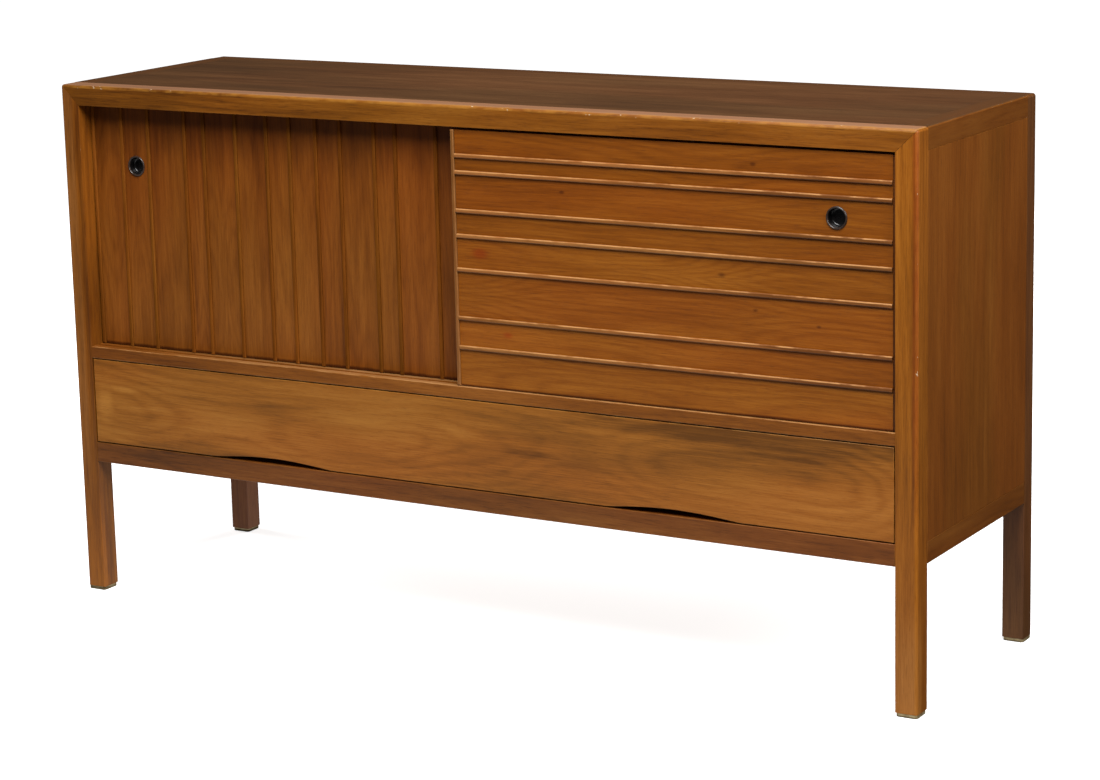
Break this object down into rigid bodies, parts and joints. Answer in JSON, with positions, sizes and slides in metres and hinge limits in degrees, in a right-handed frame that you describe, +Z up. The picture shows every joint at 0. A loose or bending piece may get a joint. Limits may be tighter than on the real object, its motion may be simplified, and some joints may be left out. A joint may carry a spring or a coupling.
{
  "type": "sideboard buffet",
  "caption": "Long wooden sideboard on square legs, with ribbed bypassing sliding doors over a full-width drawer that is opened by finger scoops in its lower edge.",
  "frame": {"origin": "middle of the footprint, on the floor under the foot plates", "axes": "+X along the width, to the right of someone facing the doors; the doors and drawer face -Y; +Z up"},
  "size_m": [1.4, 0.406, 0.787],
  "materials": {
    "frame_walnut": "warm orange-brown walnut, satin lacquer, worn light along the outer arrises",
    "side_walnut": "mid-brown walnut, satin lacquer",
    "top_walnut": "dark brown walnut veneer with long grain, satin lacquer",
    "door_walnut": "orange-brown walnut veneer, satin lacquer",
    "rib_walnut": "lighter solid walnut beading",
    "drawer_walnut": "figured golden-brown walnut veneer, satin lacquer",
    "inner_walnut": "plain oiled walnut inside",
    "drawer_oak": "bare pale oak",
    "board_brown": "brown-faced thin board, matt",
    "pull_black": "glossy black",
    "foot_brass": "tarnished brass"
  },
  "bodies": {
    "carcase": {"front_left_leg": "frame_walnut", "front_right_leg": "frame_walnut", "top_front_rail": "frame_walnut", "bottom_front_rail": "frame_walnut", "door_sill": "frame_walnut", "rear_left_leg": "side_walnut", "rear_right_leg": "side_walnut", "top_rear_rail": "side_walnut", "bottom_rear_rail": "side_walnut", "left_top_rail": "side_walnut", "right_top_rail": "side_walnut", "left_bottom_rail": "side_walnut", "right_bottom_rail": "side_walnut", "left_side_panel": "side_walnut", "right_side_panel": "side_walnut", "top_panel": "top_walnut", "cupboard_floor": "inner_walnut", "upper_door_guide": "inner_walnut", "center_partition": "inner_walnut", "left_shelf": "inner_walnut", "right_shelf": "inner_walnut", "back_panel": "board_brown", "dust_panel": "board_brown", "left_drawer_runner": "drawer_oak", "right_drawer_runner": "drawer_oak", "front_left_foot_plate": "foot_brass", "front_right_foot_plate": "foot_brass", "rear_left_foot_plate": "foot_brass", "rear_right_foot_plate": "foot_brass"},
    "front_door": {"front_door_panel": "door_walnut", "front_door_meeting_band": "rib_walnut", "front_door_closing_band": "rib_walnut", "front_door_pull": "pull_black", "front_door_rib_1": "rib_walnut", "front_door_rib_2": "rib_walnut", "front_door_rib_3": "rib_walnut", "front_door_rib_4": "rib_walnut", "front_door_rib_5": "rib_walnut", "front_door_rib_6": "rib_walnut", "front_door_rib_7": "rib_walnut"},
    "rear_door": {"rear_door_panel": "door_walnut", "rear_door_closing_band": "rib_walnut", "rear_door_pull": "pull_black", "rear_door_rib_1": "rib_walnut", "rear_door_rib_2": "rib_walnut", "rear_door_rib_3": "rib_walnut", "rear_door_rib_4": "rib_walnut", "rear_door_rib_5": "rib_walnut", "rear_door_rib_6": "rib_walnut", "rear_door_rib_7": "rib_walnut", "rear_door_rib_8": "rib_walnut", "rear_door_rib_9": "rib_walnut", "rear_door_rib_10": "rib_walnut", "rear_door_rib_11": "rib_walnut", "rear_door_rib_12": "rib_walnut"},
    "drawer": {"drawer_front": "drawer_walnut", "left_drawer_side": "drawer_oak", "right_drawer_side": "drawer_oak", "drawer_back": "drawer_oak", "drawer_base": "drawer_oak"}
  },
  "joints": [
    {"name": "front_door_slide", "type": "slide", "parent": "carcase", "child": "front_door", "axis": [-1, 0, 0], "range_m": [0, 0.658]},
    {"name": "rear_door_slide", "type": "slide", "parent": "carcase", "child": "rear_door", "axis": [1, 0, 0], "range_m": [0, 0.658]},
    {"name": "drawer_slide", "type": "slide", "parent": "carcase", "child": "drawer", "axis": [0, -1, 0], "range_m": [0, 0.29]}
  ]
}
